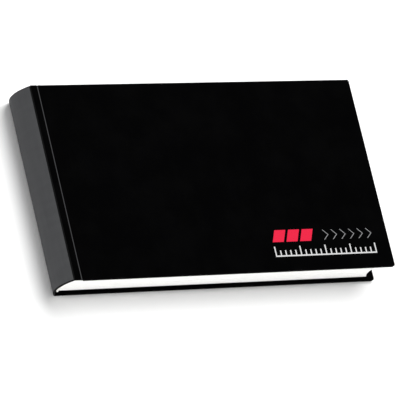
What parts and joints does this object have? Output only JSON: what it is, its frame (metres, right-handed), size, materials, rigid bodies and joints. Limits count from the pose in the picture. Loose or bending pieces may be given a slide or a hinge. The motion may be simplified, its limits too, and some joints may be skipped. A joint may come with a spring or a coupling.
{
  "type": "pilot logbook",
  "caption": "Closed landscape case-bound logbook: black cloth covers, rounded grey spine, sewn leaves; covers hinge and the leaves open flat in the middle.",
  "frame": {"origin": "middle of the footprint, on the plane the back cover lies on", "axes": "+X from the spine to the fore-edge, +Y from tail to head, +Z from the back cover up to the front cover"},
  "size_m": [0.2206, 0.116, 0.025],
  "materials": {
    "cover_cloth": "black coated book cloth with a fine grain, low sheen",
    "spine_cloth": "dark grey woven book cloth",
    "grey_board": "grey binder's board",
    "leaves": "white ledger paper",
    "endpaper": "heavier white endpaper",
    "gauze": "open-weave binder's gauze",
    "kraft_paper": "kraft lining paper",
    "card": "flexible manila card",
    "band_cotton": "white rolled cotton band",
    "thread": "waxed linen thread"
  },
  "bodies": {
    "back_leaves": {"section_8": "leaves", "back_flyleaf": "endpaper", "spine_cloth": "spine_cloth", "spine_stiffener": "card", "spine_gauze": "gauze", "spine_lining": "kraft_paper", "head_band": "band_cotton", "tail_band": "band_cotton", "sewing_thread": "thread"},
    "front_leaves": {"section_1": "leaves", "front_flyleaf": "endpaper"},
    "section_2": {"section_2": "leaves"},
    "section_3": {"section_3": "leaves"},
    "section_4": {"section_4": "leaves"},
    "section_5": {"section_5": "leaves"},
    "section_6": {"section_6": "leaves"},
    "section_7": {"section_7": "leaves"},
    "front_cover": {"front_board": "grey_board", "front_covering": "cover_cloth", "front_joint_cloth": "cover_cloth", "front_gauze_flap": "gauze", "front_pastedown": "endpaper"},
    "back_cover": {"back_board": "grey_board", "back_covering": "cover_cloth", "back_joint_cloth": "cover_cloth", "back_gauze_flap": "gauze", "back_pastedown": "endpaper"}
  },
  "joints": [
    {"name": "middle_opening", "type": "hinge", "parent": "back_leaves", "child": "front_leaves", "pos_m": [-0.10784, 0, 0.0125], "axis": [0, -1, 0], "range_deg": [0, 180], "deforming": ["spine_cloth", "spine_stiffener", "spine_gauze", "spine_lining", "head_band", "tail_band", "sewing_thread"]},
    {"name": "section_2_turn", "type": "hinge", "parent": "back_leaves", "child": "section_2", "pos_m": [-0.10784, 0, 0.0125], "axis": [0, -1, 0], "range_deg": [0, 178.01]},
    {"name": "section_3_turn", "type": "hinge", "parent": "back_leaves", "child": "section_3", "pos_m": [-0.10784, 0, 0.0125], "axis": [0, -1, 0], "range_deg": [0, 176.01]},
    {"name": "section_4_turn", "type": "hinge", "parent": "back_leaves", "child": "section_4", "pos_m": [-0.10784, 0, 0.0125], "axis": [0, -1, 0], "range_deg": [0, 174.01]},
    {"name": "section_5_turn", "type": "hinge", "parent": "back_leaves", "child": "section_5", "pos_m": [-0.10784, 0, 0.0125], "axis": [0, -1, 0], "range_deg": [0, 6.01]},
    {"name": "section_6_turn", "type": "hinge", "parent": "back_leaves", "child": "section_6", "pos_m": [-0.10784, 0, 0.0125], "axis": [0, -1, 0], "range_deg": [0, 4.01]},
    {"name": "section_7_turn", "type": "hinge", "parent": "back_leaves", "child": "section_7", "pos_m": [-0.10784, 0, 0.0125], "axis": [0, -1, 0], "range_deg": [0, 2.01]},
    {"name": "front_cover_hinge", "type": "hinge", "parent": "front_leaves", "child": "front_cover", "pos_m": [-0.1057, 0, 0.02515], "axis": [0, -1, 0], "range_deg": [0, 180], "deforming": ["front_joint_cloth"]},
    {"name": "back_cover_hinge", "type": "hinge", "parent": "back_leaves", "child": "back_cover", "pos_m": [-0.1057, 0, -0.00015], "axis": [0, 1, 0], "range_deg": [0, 180], "deforming": ["back_joint_cloth"]}
  ],
  "couplings": [
    {"joint": "section_2_turn", "follows": "middle_opening", "ratio": 0.98889},
    {"joint": "section_3_turn", "follows": "middle_opening", "ratio": 0.97778},
    {"joint": "section_4_turn", "follows": "middle_opening", "ratio": 0.96667},
    {"joint": "section_5_turn", "follows": "middle_opening", "ratio": 0.033333},
    {"joint": "section_6_turn", "follows": "middle_opening", "ratio": 0.022222},
    {"joint": "section_7_turn", "follows": "middle_opening", "ratio": 0.011111}
  ]
}
